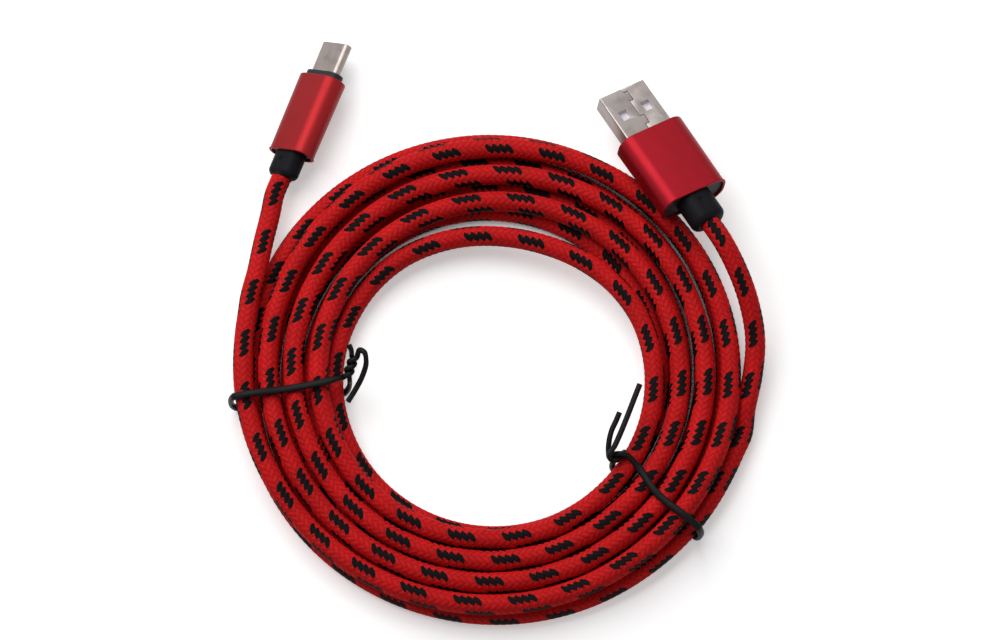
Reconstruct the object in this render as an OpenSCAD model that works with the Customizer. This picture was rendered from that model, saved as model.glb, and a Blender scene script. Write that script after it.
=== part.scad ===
// Braided charging cable, USB-A to USB-C, wound in a flat two-layer coil
// that two wire ties hold. Millimetres. Z is up, the table is z = 0, and the
// origin is the middle of the coil. Each plug has a frame of its own: its
// origin is in the middle of the sleeve's front rim, X points out of the
// mouth, Y is the width and Z the thickness.

/* [Cable] */
// Diameter of the jacket, under the braid
cable_d = 4.0; // [3.6:0.05:4.2]
// Diameter of one insulated wire
wire_d = 0.9; // [0.6:0.05:1.1]
// Least clear space between two turns of the coil
turn_gap = 0.5; // [0.45:0.01:0.8]

/* [Coil] */
// Radius of the innermost turn, to the middle of the cable
coil_inner_r = 36; // [34:0.5:40]
// Turns of the upper layer, counted from the USB-C end inwards
upper_turns = 3.6; // [3.4:0.05:3.8]
// Turns of the lower layer, counted from the inside to the USB-A end
lower_turns = 4.35; // [4.2:0.05:4.5]
// Space left between turns of the upper layer, past the least
upper_spare = 1.2; // [0.8:0.1:1.5]
// Space left between turns of the lower layer, past the least
lower_spare = 0.4; // [0.3:0.05:0.6]
// Bearing of the end that runs to the USB-C plug, in degrees
coil_start = 172; // [166:1:178]
// How far the upper layer's innermost turn lies off the middle of the coil
upper_drift = 2.5; // [0:0.1:2.8]
// How far the lower layer's innermost turn lies off the middle of the coil
lower_drift = 1.7; // [0:0.1:1.8]
// How far the innermost turn sags away from the others on its far side
inner_sag = 2.2; // [0:0.1:2.6]

/* [USB-A plug] */
// Width of the plug's shell
a_shell_w = 12.0; // [11.8:0.05:12.1]
// Thickness of the plug's shell
a_shell_h = 4.5; // [4.4:0.05:4.6]
// Thickness of the shell's sheet metal
a_sheet = 0.3; // [0.25:0.01:0.35]
// Length of shell in front of the sleeve
a_shell_out = 12.6; // [11.75:0.05:12.8]
// Length of shell held inside the sleeve
a_shell_in = 7.0; // [5.5:0.1:8]
// Length of a window in the shell
a_window_l = 2.5; // [2:0.1:2.8]
// Width of a window in the shell
a_window_w = 2.1; // [1.6:0.1:2.4]
// Distance from the mouth to the middle of a window
a_window_x = 6.4; // [5.5:0.1:7]
// Distance from one window's middle to the other's
a_window_pitch = 6.1; // [5.6:0.1:6.8]
// Width of the sleeve
a_sleeve_w = 17.0; // [16.4:0.1:18.5]
// Thickness of the sleeve
a_sleeve_h = 8.4; // [8:0.1:9]
// Length of the sleeve
a_sleeve_l = 19.2; // [18.5:0.1:22]
// Radius of the sleeve's long edges
a_sleeve_r = 3.4; // [3:0.1:3.8]
// Width of the boot behind the sleeve
a_boot_d = 8.4; // [7.6:0.1:8.8]
// Thickness of the boot, across its flats
a_boot_h = 6.8; // [6:0.1:6.9]
// Length of boot behind the sleeve
a_boot_l = 7.0; // [5.5:0.1:9]

/* [USB-C plug] */
// Width of the plug's shell
c_shell_w = 8.25; // [8.2:0.01:8.3]
// Thickness of the plug's shell
c_shell_h = 2.4; // [2.35:0.01:2.45]
// Wall of the plug's shell
c_sheet = 0.3; // [0.25:0.01:0.32]
// Length of shell in front of the collar
c_shell_out = 7.6; // [6.6:0.05:8]
// Length of shell held behind the sleeve's front rim
c_shell_in = 2.6; // [2:0.1:3.2]
// Length of the collar in front of the sleeve
c_collar_l = 1.5; // [1:0.1:2.5]
// Width of the collar
c_collar_w = 10.0; // [9.6:0.1:10.3]
// Thickness of the collar
c_collar_h = 4.2; // [3.8:0.1:4.6]
// Width of the sleeve
c_sleeve_w = 12.3; // [11.6:0.1:12.4]
// Thickness of the sleeve
c_sleeve_h = 6.6; // [6.4:0.1:7]
// Length of the sleeve
c_sleeve_l = 19.4; // [17.8:0.1:21]
// Width of the boot behind the sleeve
c_boot_d = 7.4; // [6.8:0.1:7.8]
// Thickness of the boot, across its flats
c_boot_h = 5.1; // [4.8:0.05:5.15]
// Length of boot behind the sleeve
c_boot_l = 5.9; // [4.5:0.1:7]

/* [Sleeves] */
// Wall of both metal sleeves
sleeve_wall = 0.7; // [0.5:0.05:0.8]
// Depth of the moulding behind the rim at each end of a sleeve
rim_depth = 0.5; // [0.2:0.1:0.8]

/* [Wire ties] */
// Diameter of a tie over its plastic coat
tie_d = 1.3; // [1.2:0.1:1.5]
// Diameter of the steel wire in a tie
tie_wire_d = 0.5; // [0.4:0.05:0.6]
// Bearing of the tie on the left of the coil, in degrees
left_tie_at = 188; // [183:1:193]
// Bearing of the tie on the right of the coil, in degrees
right_tie_at = 320; // [315:1:325]
// Length of the left tie's twisted stem
left_stem_l = 5.4; // [5.2:0.1:7]
// Length of the right tie's twisted stem
right_stem_l = 3.6; // [3:0.1:4.5]

/* [Hidden] */
$fn = 48;

up = [0, 0, 1];
cut = 0.1;             // how far a cutting shape runs past a face
seat = 0.05;           // clear space round a piece that drops into another

// ---- Points, routes and tubes ------------------------------------------

function unit(v) = v / norm(v);
function clamp01(x) = min(1, max(0, x));
function sum(v) = v * [for (x = v) 1];
function ease(x) = 0.5 - 0.5 * cos(180 * clamp01(x));

// A point turned about X, then Y, then Z, as rotate() does.
function turned(p, a) =
    let (q = [p.x, p.y * cos(a.x) - p.z * sin(a.x), p.y * sin(a.x) + p.z * cos(a.x)])
    let (s = [q.x * cos(a.y) + q.z * sin(a.y), q.y, q.z * cos(a.y) - q.x * sin(a.y)])
    [s.x * cos(a.z) - s.y * sin(a.z), s.x * sin(a.z) + s.y * cos(a.z), s.z];

function tangent(path, i) =
    unit(path[min(i + 1, len(path) - 1)] - path[max(i - 1, 0)]);

// A ring of points round the route, square to it, and never below the table.
function ring(path, i, r, sides, ref) =
    let (t = tangent(path, i), s = unit(cross(ref, t)), u = cross(t, s))
    [for (k = [0:sides - 1])
        let (p = path[i] + r * (cos(360 * k / sides) * s + sin(360 * k / sides) * u))
        [p.x, p.y, max(p.z, 0)]];

function rings(path, r, sides, ref) =
    [for (i = [0:len(path) - 1]) each ring(path, i, r, sides, ref)];

// The wall of a tube: two triangles for each side of each step.
function wall_faces(steps, sides, first = 0) =
    [for (i = [0:steps - 1], k = [0:sides - 1])
        let (a = first + i * sides + k, b = first + i * sides + (k + 1) % sides)
        each [[a, a + sides, b], [b, a + sides, b + sides]]];

function turned_over(faces) = [for (f = faces) [f[2], f[1], f[0]]];

// A solid round tube along a route.
module tube(path, d, sides, ref = up) {
    last = (len(path) - 1) * sides;
    caps = [for (k = [1:sides - 2]) each [[0, k, k + 1], [last, last + k + 1, last + k]]];
    polyhedron(rings(path, d / 2, sides, ref),
        concat(wall_faces(len(path) - 1, sides), caps), convexity = 10);
}

// A tube with a bore of diameter bore_d all the way through.
module hollow_tube(path, d, bore_d, sides, ref = up) {
    steps = len(path) - 1;
    last = steps * sides;
    inner = (steps + 1) * sides;
    ends = [for (k = [0:sides - 1]) let (j = (k + 1) % sides) each [
        [k, j, inner + k], [j, inner + j, inner + k],
        [last + k, inner + last + k, last + j],
        [last + j, inner + last + k, inner + last + j]]];
    polyhedron(
        concat(rings(path, d / 2, sides, ref), rings(path, bore_d / 2, sides, ref)),
        concat(wall_faces(steps, sides), turned_over(wall_faces(steps, sides, inner)), ends),
        convexity = 10);
}

// ---- The coil ------------------------------------------------------------

rings_a_turn = 24;
coil_sides = 6;
lead_sides = 8;
foot_flat = cable_d / 10;                    // cut off the underside where it rests
lower_z = cable_d / 2 - foot_flat;           // middle of the cable, lower layer
layer_rise = cable_d + turn_gap;
upper_step = cable_d + turn_gap + upper_spare;
lower_step = cable_d + turn_gap + lower_spare;
change_turns = 0.5;                          // the layer changes in half a turn
coil_turns = upper_turns + change_turns + lower_turns;
coil_rings = round(coil_turns * rings_a_turn);
upper_outer_r = coil_inner_r + upper_turns * upper_step;
upper_drift_at = 267;                        // bearings of the two drifts
lower_drift_at = 252;
sag_middle = 0.13;                           // turns after the upper layer's end
sag_half = 0.17;                             // turns from there to where it fades out
tie_lift = tie_d + 0.15;                     // the cable rides over each tie
lift_flat = 9;                               // degrees each side of a tie
lift_end = 34;

function bearing_off(a, b) = abs(((a - b) % 360 + 540) % 360 - 180);
function lift(at) = tie_lift * max(
    ease((lift_end - bearing_off(at, left_tie_at)) / (lift_end - lift_flat)),
    ease((lift_end - bearing_off(at, right_tie_at)) / (lift_end - lift_flat)));

// Radius at u turns from the USB-C end: steadily in along the upper layer,
// and steadily out again along the lower one. It turns back half way
// through the half turn in which the cable steps down a layer.
function coil_r(u) = let (v = u - upper_turns)
    v < 0 ? upper_outer_r - upper_step * u :
    v < change_turns / 2 ? coil_inner_r - lower_step * v :
    coil_inner_r + lower_step * (v - change_turns);
function sag(u) = inner_sag * ease(1 - abs(u - upper_turns - sag_middle) / sag_half);
function drift_way(u) = let (below = ease((u - upper_turns) / change_turns))
    upper_drift * (1 - below) * [cos(upper_drift_at), sin(upper_drift_at)] +
    lower_drift * below * [cos(lower_drift_at), sin(lower_drift_at)];
function coil_z(u) =
    lower_z + layer_rise * (1 - ease((u - upper_turns) / change_turns));
function coil_point(u) =
    let (at = coil_start + 360 * u, r = coil_r(u))
    let (off = drift_way(u) * (upper_outer_r - r) / (upper_outer_r - coil_inner_r))
    [(r - sag(u)) * cos(at) + off.x, (r - sag(u)) * sin(at) + off.y, coil_z(u) + lift(at)];

coil_path = [for (i = [0:coil_rings]) coil_point(i / rings_a_turn)];
coil_first = coil_path[0];
coil_last = coil_path[coil_rings];
// Each end of the tube runs on for one diameter in the way the spiral has there.
tangent_step = 0.001;
coil_first_way = unit(coil_first - coil_point(tangent_step));
coil_last_way = unit(coil_last - coil_point(coil_rings / rings_a_turn - tangent_step));
coil_c_end = coil_first + cable_d * coil_first_way;
coil_a_end = coil_last + cable_d * coil_last_way;
coil_route = concat([coil_c_end], coil_path, [coil_a_end]);

// Least clear space of the tube to itself, on its ring centres and on the
// points half way between them, at places more than half a turn apart.
gap_points = [for (i = [0:coil_rings - 1]) each [coil_path[i], (coil_path[i] + coil_path[i + 1]) / 2]];
coil_gap = min([for (i = [0:len(gap_points) - 1 - rings_a_turn], j = [i + rings_a_turn:len(gap_points) - 1])
    norm(gap_points[i] - gap_points[j])]) - cable_d;
function route_length(p) = sum([for (i = [1:len(p) - 1]) norm(p[i] - p[i - 1])]);
echo(coil_turns = coil_turns, coil_least_gap = coil_gap, coil_length = route_length(coil_route));

module coil() color("#9c1a1c") tube(coil_route, cable_d, coil_sides);

// ---- Where the plugs lie ---------------------------------------------------

a_place = [35.4, 53.4, 10];
a_turn = [14.5, 9, 121.7];
c_place = [-39.1, 68.5, 5.05];
c_turn = [-36, 0, 68.6];

function at_a(p) = a_place + turned(p, a_turn);
function at_c(p) = c_place + turned(p, c_turn);
module in_a() translate(a_place) rotate(a_turn) children();
module in_c() translate(c_place) rotate(c_turn) children();

a_back = a_sleeve_l + a_boot_l;              // from the front rim to the boot's end
c_back = c_sleeve_l + c_boot_l;
a_exit = at_a([-a_back, 0, 0]);
c_exit = at_c([-c_back, 0, 0]);

// The free stretch of cable at each end, from the coil to the boot. It runs
// on straight from the coil, through points chosen by hand, and straight
// into the boot.
a_lead_points = [[56.8, -9.6, 3.4], [58.5, -1.6, 4.4], [59.1, 6, 6.2], [57.6, 14, 9.6],
    [54.4, 22, 12.9]];
c_lead_points = [[-53.5, 22.2, 6.4], [-52.2, 29.4, 5.5], [-50.7, 36.4, 5.05]];
a_lead_route = concat([coil_a_end, coil_a_end + cable_d * coil_last_way], a_lead_points,
    [at_a([-a_back - cable_d, 0, 0]), a_exit]);
c_lead_route = concat([coil_c_end, coil_c_end + cable_d * coil_first_way], c_lead_points,
    [at_c([-c_back - cable_d, 0, 0]), c_exit]);
echo(a_lead_length = route_length(a_lead_route), c_lead_length = route_length(c_lead_route));

module usb_a_lead() color("#a81c1e") tube(a_lead_route, cable_d, lead_sides);
module usb_c_lead() color("#a81c1e") tube(c_lead_route, cable_d, lead_sides);

// ---- Flat shapes, and prisms along a plug ----------------------------------

// A rectangle with round corners, made of squares and circles so that the
// corners stay true arcs.
module rounded(w, h, r) {
    square([w - 2 * r, h], center = true);
    if (h > 2 * r) square([w, h - 2 * r], center = true);
    for (x = [-1, 1], y = h > 2 * r ? [-1, 1] : [0])
        translate([x * (w / 2 - r), y * (h / 2 - r)]) circle(r);
}

// A flat shape drawn in Y and Z, carried along X from x0 to x1.
module along(x0, x1) translate([x0, 0, 0]) rotate([90, 0, 90]) linear_extrude(x1 - x0) children();

// A box between two corners.
module block(low, high) translate(low) cube(high - low);

// A round bar from one point to another.
module bar(from, to, d) {
    way = to - from;
    translate(from)
        rotate([0, acos(way.z / norm(way)), atan2(way.y, way.x)])
            cylinder(h = norm(way), d = d);
}

// A wire, from its soldered joint to the cable's end face. With room, it is
// the hollow that the moulding leaves round the wire.
module wire(joint, core, room = 0) bar(joint, core, wire_d + 2 * room);

// The four wires' places in the end face of the cable.
core_r = wire_d * 0.78;
core_at = [[core_r, core_r], [core_r, -core_r], [-core_r, -core_r], [-core_r, core_r]];
core_clear = 0.3;                            // a slanting wire stops short of what it meets

// ---- USB-A plug ------------------------------------------------------------

a_mouth = a_shell_out;
a_shell_back = -a_shell_in;
a_inside_w = a_shell_w - 2 * a_sheet;
a_inside_h = a_shell_h - 2 * a_sheet;
a_shell_r = 0.35;                            // outer corner of the folded shell
a_tongue_h = 1.9;                            // plastic along the seamed side
a_tongue_front = a_mouth - 0.5;
a_block_gap = 9.2;                           // mouth to where the plastic fills the shell
a_block_front = a_mouth - a_block_gap;
a_pocket = 0.7;                              // depth of the plastic's pocket under a window
a_block_back = a_shell_back + 1.5;
a_ceiling = a_inside_h / 2;                  // inside of the seamed wall
a_tongue_z = a_ceiling - a_tongue_h;         // face that carries the contacts
contact_w = 1.0;
contact_t = 0.2;
a_outer_y = 3.5;                             // supply and ground contacts
a_inner_y = 1.0;                             // data contacts
a_outer_set_back = 1.6;                      // mouth to the front of the outer contacts
a_inner_set_back = 2.6;
a_outer_front = a_mouth - a_outer_set_back;
a_inner_front = a_mouth - a_inner_set_back;
a_tail_back = a_shell_back - 1.2;
a_wires_l = 6.2;                             // from the shell's back to the jacket
a_cable_front = a_shell_back - a_wires_l;    // end face of the jacket
a_inner_back = a_cable_front - 0.4;
a_inner_w = 10.6;
a_inner_h = 4.4;
a_crimp_l = 2.4;
crimp_t = 0.35;
a_crimp_front = a_inner_back - 0.6;
a_seam = 0.12;
a_contacts = [[a_outer_y, a_outer_front], [a_inner_y, a_inner_front],
              [-a_inner_y, a_inner_front], [-a_outer_y, a_outer_front]];

// The seam down the middle of the shell, with two square tabs that interlock.
// Its corners are shares of the length that shows, from the mouth back, and
// shares of the width.
a_seam_folds = [[-0.01, 0], [0.087, 0], [0.087, -0.085], [0.286, -0.085], [0.286, 0],
                [0.643, 0], [0.643, -0.085], [0.833, -0.085], [0.833, 0]];

module a_seam_cut() {
    back = [1 + (a_shell_in + cut) / a_shell_out, 0];
    fold = [for (f = concat(a_seam_folds, [back]))
        [a_mouth - f[0] * a_shell_out, f[1] * a_shell_w]];
    translate([0, 0, a_ceiling - cut]) linear_extrude(a_sheet + 2 * cut)
        for (i = [1:len(fold) - 1])
            translate([min(fold[i - 1].x, fold[i].x) - a_seam / 2,
                       min(fold[i - 1].y, fold[i].y) - a_seam / 2])
                square([abs(fold[i - 1].x - fold[i].x) + a_seam,
                        abs(fold[i - 1].y - fold[i].y) + a_seam]);
}

module usb_a_shell() color("#b9b4ae") in_a() difference() {
    along(a_shell_back, a_mouth) rounded(a_shell_w, a_shell_h, a_shell_r);
    along(a_shell_back - cut, a_mouth + cut)
        rounded(a_inside_w, a_inside_h, a_shell_r - a_sheet + 0.05);
    for (y = [-1, 1])
        translate([a_mouth - a_window_x, y * a_window_pitch / 2, 0])
            cube([a_window_l, a_window_w, a_shell_h + 2 * cut], center = true);
    a_seam_cut();
}

// The room for one contact, or the contact itself, and its way to the tail.
module a_contact_shape(i, room = 0) {
    y = a_contacts[i][0];
    block([a_tail_back - room, y - contact_w / 2 - room, a_tongue_z - contact_t - room],
          [a_contacts[i][1] + room, y + contact_w / 2 + room, a_tongue_z + room / 2]);
}
module a_contact(i) color("#d8b25a") in_a() a_contact_shape(i);
module usb_a_contact_vbus() a_contact(0);
module usb_a_contact_d_minus() a_contact(1);
module usb_a_contact_d_plus() a_contact(2);
module usb_a_contact_gnd() a_contact(3);

module usb_a_insulator() color("#e8e6e2") in_a() difference() {
    w = a_inside_w - 2 * seat;
    top = a_ceiling - seat;
    intersection() {
        along(a_block_back, a_tongue_front) rounded(w, 2 * top, a_shell_r - a_sheet + 0.05);
        union() {
            block([a_block_front - cut, -w / 2, a_tongue_z], [a_tongue_front, w / 2, top]);
            block([a_block_back, -w / 2, -top], [a_block_front, w / 2, top]);
        }
    }
    for (i = [0:3]) {
        y = a_contacts[i][0];
        block([a_block_back - cut, y - contact_w / 2, a_tongue_z - contact_t],
              [a_block_front + cut, y + contact_w / 2, a_tongue_z]);
    }
    // The socket's spring tips drop into these pockets through the windows.
    for (y = [-1, 1])
        translate([a_mouth - a_window_x, y * a_window_pitch / 2, top])
            cube([a_window_l + 2 * seat, a_window_w + 2 * seat, 2 * a_pocket], center = true);
}

// Each wire is soldered to the end of its contact's tail.
function a_joint(i) =
    [a_tail_back - core_clear, a_contacts[i][0], a_tongue_z - contact_t / 2];
function a_core(i) = [a_cable_front + core_clear, core_at[i][0], core_at[i][1]];
module a_wire(i, room = 0) wire(a_joint(i), a_core(i), room);
module usb_a_wire_red() color("#c01818") in_a() a_wire(0);
module usb_a_wire_white() color("#e6e6e6") in_a() a_wire(1);
module usb_a_wire_green() color("#1f8f3a") in_a() a_wire(2);
module usb_a_wire_black() color("#1a1a1a") in_a() a_wire(3);

// The stiff pre-mould that holds the soldered tails and the wires.
module usb_a_inner_mould() color("#d9d3c4") in_a() difference() {
    along(a_inner_back, a_shell_back) rounded(a_inner_w, a_inner_h, 0.6);
    for (i = [0:3]) {
        a_contact_shape(i, seat);
        a_wire(i, seat);
    }
    along(a_inner_back - cut, a_cable_front + seat) circle(d = cable_d);
}

module usb_a_crimp() color("#a8a29a") in_a() difference() {
    along(a_crimp_front - a_crimp_l, a_crimp_front) circle(d = cable_d + 2 * crimp_t);
    along(a_crimp_front - a_crimp_l - cut, a_crimp_front + cut) circle(d = cable_d);
}

module usb_a_cable_end() color("#2a2a2c") in_a()
    along(-a_back, a_cable_front) circle(d = cable_d);

a_body_back = -a_sleeve_l + rim_depth;
a_bore_w = a_sleeve_w - 2 * sleeve_wall;
a_bore_h = a_sleeve_h - 2 * sleeve_wall;
a_bore_r = a_sleeve_r - sleeve_wall;

// The moulding that fills the sleeve round the shell and the pre-mould.
module usb_a_body() color("#2b2b2f") in_a() difference() {
    along(a_body_back, -rim_depth) rounded(a_bore_w, a_bore_h, a_bore_r);
    along(a_shell_back, cut) rounded(a_shell_w, a_shell_h, a_shell_r);
    along(a_inner_back, a_shell_back + cut) rounded(a_inner_w, a_inner_h, 0.6);
    along(a_crimp_front - a_crimp_l, a_crimp_front) circle(d = cable_d + 2 * crimp_t);
    along(a_body_back - cut, a_inner_back + cut) circle(d = cable_d);
}

module usb_a_sleeve() color("#b01f2b") in_a() difference() {
    along(-a_sleeve_l, 0) rounded(a_sleeve_w, a_sleeve_h, a_sleeve_r);
    along(-a_sleeve_l - cut, cut) rounded(a_bore_w, a_bore_h, a_bore_r);
}

boot_end_r = 1.6;
module usb_a_boot() color("#1d1d20") in_a()
    translate([a_body_back, 0, 0]) rotate([0, 180, 0]) rotate([0, 90, 0])
        boot_solid(a_boot_d, a_boot_l + rim_depth, a_boot_h);

// A boot standing on Z: a short round stub with a rounded end, bored for the
// cable, with flats where it is thinner than it is wide.
module boot_solid(d, length, h) intersection() {
    rotate_extrude() difference() {
        union() {
            square([d / 2 - boot_end_r, length]);
            square([d / 2, length - boot_end_r]);
            translate([d / 2 - boot_end_r, length - boot_end_r]) circle(boot_end_r);
        }
        square([cable_d / 2, length + cut]);
    }
    translate([-h / 2, -d, -cut]) cube([h, 2 * d, length + 2 * cut]);
}

// ---- USB-C plug ------------------------------------------------------------

c_mouth = c_collar_l + c_shell_out;
c_shell_back = -c_shell_in;
c_inside_w = c_shell_w - 2 * c_sheet;
c_inside_h = c_shell_h - 2 * c_sheet;
c_slot_w = 6.9;                              // room for the socket's tongue
c_slot_h = 0.8;
c_slot_l = 5.6;
c_slot_back = c_mouth - c_slot_l;
c_insulator_back = c_shell_back + 0.6;
c_board_front = c_shell_back - 0.2;
c_board_l = 5.2;
c_board_w = 7.4;
c_board_t = 0.7;
c_board_back = c_board_front - c_board_l;
c_pin_w = 0.26;
c_pin_t = 0.16;
c_pin_pitch = 0.5;
c_pin_front = c_mouth - 1.2;
c_pin_back = c_board_front - 1.1;
c_row_z = c_board_t / 2 + c_pin_t / 2;
c_upper_pins = [-5.5, -2.5, -1.5, -0.5, 0.5, 2.5, 5.5];
c_lower_pins = [-5.5, -2.5, -1.5, 2.5, 5.5];
c_latch_t = 0.2;
c_latch_h = 0.7;
c_hook_back = 2.0;                           // mouth to the back of the spring's hooks
c_wires_l = 3.4;                             // from the board to the jacket
c_cable_front = c_board_back - c_wires_l;
c_inner_back = c_cable_front - 0.4;
c_inner_w = 8.6;
c_inner_h = 4.3;
c_crimp_l = 2.0;
c_crimp_front = c_inner_back - 0.5;

module c_stadium(w, h) rounded(w, h, h / 2);

module usb_c_shell() color("#b4b2b0") in_c() difference() {
    along(c_shell_back, c_mouth) c_stadium(c_shell_w, c_shell_h);
    along(c_shell_back - cut, c_mouth + cut) c_stadium(c_inside_w, c_inside_h);
}

// One contact beam: flat along its row, seated in its groove.
module c_pins(rows, side, room = 0)
    for (p = rows)
        translate([c_pin_back, p * c_pin_pitch, side * c_row_z])
            translate([0, -c_pin_w / 2 - room, -c_pin_t / 2 - room])
                cube([c_pin_front - c_pin_back, c_pin_w + 2 * room, c_pin_t + 2 * room]);
module usb_c_contacts_upper() color("#d8b25a") in_c() c_pins(c_upper_pins, 1);
module usb_c_contacts_lower() color("#d8b25a") in_c() c_pins(c_lower_pins, -1);

// The latch spring: a thin fork whose two arms lie beside the slot and end
// in hooks that hold the socket's tongue.
module c_latch_shape(room = 0) {
    arm = c_slot_w / 2 - 0.25;
    for (y = [-1, 1]) {
        translate([0, y * (arm + c_latch_t / 2), 0])
            block([c_slot_back - 1.2, -c_latch_t / 2 - room, -c_latch_h / 2 - room],
                  [c_mouth - 1.4, c_latch_t / 2 + room, c_latch_h / 2 + room]);
        translate([0, y * (arm - 0.1), 0])
            block([c_mouth - c_hook_back, -0.15 - room, -c_latch_h / 2 - room],
                  [c_mouth - 1.4, 0.15 + room, c_latch_h / 2 + room]);
    }
    block([c_slot_back - 1.2 - c_latch_t, -arm - c_latch_t - room, -c_latch_h / 2 - room],
          [c_slot_back - 1.2, arm + c_latch_t + room, c_latch_h / 2 + room]);
}
module usb_c_latch_spring() color("#9a9894") in_c() c_latch_shape();

module usb_c_insulator() color("#1f1f22") in_c() difference() {
    along(c_insulator_back, c_mouth - 0.25)
        c_stadium(c_inside_w - 2 * seat, c_inside_h - 2 * seat);
    block([c_slot_back, -c_slot_w / 2, -c_slot_h / 2],
          [c_mouth, c_slot_w / 2, c_slot_h / 2]);
    c_pins(c_upper_pins, 1, seat / 2);
    c_pins(c_lower_pins, -1, seat / 2);
    c_latch_shape(seat / 2);
}

module usb_c_board() color("#1d6b3a") in_c()
    block([c_board_back, -c_board_w / 2, -c_board_t / 2],
          [c_board_front, c_board_w / 2, c_board_t / 2]);

resistor = [1.0, 0.5, 0.35];
resistor_on_board = [2.6, 2.6];              // from the board's rear edge and its middle line
resistor_at = [c_board_back + resistor_on_board.x, resistor_on_board.y, c_board_t / 2];
module c_resistor_shape(room = 0)
    translate(resistor_at - [resistor.x / 2 + room, resistor.y / 2 + room, 0])
        cube(resistor + [2 * room, 2 * room, room]);
module usb_c_resistor() color("#2c2c2c") in_c() c_resistor_shape();

c_pad_y = [3.0, 1.1, -1.1, -3.0];
function c_joint(i) = [c_board_back - core_clear, c_pad_y[i], 0];
function c_core(i) = [c_cable_front + core_clear, core_at[i][0], core_at[i][1]];
module c_wire(i, room = 0) wire(c_joint(i), c_core(i), room);
module usb_c_wire_red() color("#c01818") in_c() c_wire(0);
module usb_c_wire_white() color("#e6e6e6") in_c() c_wire(1);
module usb_c_wire_green() color("#1f8f3a") in_c() c_wire(2);
module usb_c_wire_black() color("#1a1a1a") in_c() c_wire(3);

module usb_c_inner_mould() color("#d9d3c4") in_c() difference() {
    along(c_inner_back, c_shell_back) rounded(c_inner_w, c_inner_h, 0.6);
    block([c_board_back, -c_board_w / 2, -c_board_t / 2],
          [c_shell_back + cut, c_board_w / 2, c_board_t / 2]);
    c_pins(c_upper_pins, 1, seat / 2);
    c_pins(c_lower_pins, -1, seat / 2);
    c_resistor_shape(seat);
    for (i = [0:3]) c_wire(i, seat);
    along(c_inner_back - cut, c_cable_front + seat) circle(d = cable_d);
}

module usb_c_crimp() color("#a8a29a") in_c() difference() {
    along(c_crimp_front - c_crimp_l, c_crimp_front) circle(d = cable_d + 2 * crimp_t);
    along(c_crimp_front - c_crimp_l - cut, c_crimp_front + cut) circle(d = cable_d);
}

module usb_c_cable_end() color("#2a2a2c") in_c()
    along(-c_back, c_cable_front) circle(d = cable_d);

c_body_back = -c_sleeve_l + rim_depth;
c_bore_w = c_sleeve_w - 2 * sleeve_wall;
c_bore_h = c_sleeve_h - 2 * sleeve_wall;

// The moulding in the sleeve, with the collar that stands in front of it.
module usb_c_body() color("#202024") in_c() difference() {
    union() {
        along(c_body_back, 0) c_stadium(c_bore_w, c_bore_h);
        along(-cut, c_collar_l) c_stadium(c_collar_w, c_collar_h);
    }
    along(c_shell_back, c_collar_l + cut) c_stadium(c_shell_w, c_shell_h);
    along(c_inner_back, c_shell_back + cut) rounded(c_inner_w, c_inner_h, 0.6);
    along(c_crimp_front - c_crimp_l, c_crimp_front) circle(d = cable_d + 2 * crimp_t);
    along(c_body_back - cut, c_inner_back + cut) circle(d = cable_d);
}

module usb_c_sleeve() color("#b3262b") in_c() difference() {
    along(-c_sleeve_l, 0) c_stadium(c_sleeve_w, c_sleeve_h);
    along(-c_sleeve_l - cut, cut) c_stadium(c_bore_w, c_bore_h);
}

module usb_c_boot() color("#1d1d20") in_c()
    translate([c_body_back, 0, 0]) rotate([0, 180, 0]) rotate([0, 90, 0])
        boot_solid(c_boot_d, c_boot_l + rim_depth, c_boot_h);

// ---- Wire ties ---------------------------------------------------------------

tie_gap = 0.3;                               // between a tie and the cable
tie_bend = 1.6;                              // radius of the bends round the bundle
tie_sides = 6;

// The cable's places at one bearing: every turn that passes it.
function passes(at) =
    let (first = ((at - coil_start) % 360 + 360) % 360 / 360)
    [for (u = first; u <= coil_turns; u = u + 1) coil_point(u)];
function out_of(p, at) = p.x * cos(at) + p.y * sin(at);
function tie_inner(at) = min([for (p = passes(at)) out_of(p, at)]) - cable_d / 2 - tie_gap - tie_d / 2;
function tie_outer(at) = max([for (p = passes(at)) out_of(p, at)]) + cable_d / 2 + tie_gap + tie_d / 2;
function tie_top(at) = max([for (p = passes(at)) p.z]) + cable_d / 2 + tie_gap + tie_d / 2;

// A point by its distance out along the bearing, aside from it and up.
function beside(at, p) =
    [p.x * cos(at) - p.y * sin(at), p.x * sin(at) + p.y * cos(at), p.z];

// The loop round the bundle, drawn out and up: from the stem's foot over the
// top, down outside, back underneath and up inside to the foot again.
function tie_loop(at, foot) =
    let (i = tie_inner(at), o = tie_outer(at), t = tie_top(at), b = tie_d / 2, c = tie_bend)
    [[i + foot.x + band_from_foot, foot.y, t], [(i + o) / 2, 0, t], [o - c, 0, t],
     [o - 0.3 * c, 0, t - 0.3 * c], [o, 0, t - c],
     [o, 0, b + c], [o - 0.3 * c, 0, b + 0.3 * c], [o - c, 0, b],
     [(i + o) / 2, 0, b], [i + c, 0, b],
     [i + 0.3 * c, 0, b + 0.3 * c], [i, 0, b + c],
     [i + min(0, foot.x - under_foot.x), foot.y / 2, t - under_foot.z]];

// The two ends wound round each other: a helix along way, starting at foot.
function stem(foot, way, length, turns, phase, back) =
    let (across = unit(cross(way, [0, way.z, -way.y])), v = cross(way, across))
    let (n = round(6 * turns))
    [for (j = [0:n]) let (k = back ? n - j : j, a = phase + 360 * turns * k / n)
        foot + way * length * k / n + stem_r * (cos(a) * across + sin(a) * v)];

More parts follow.
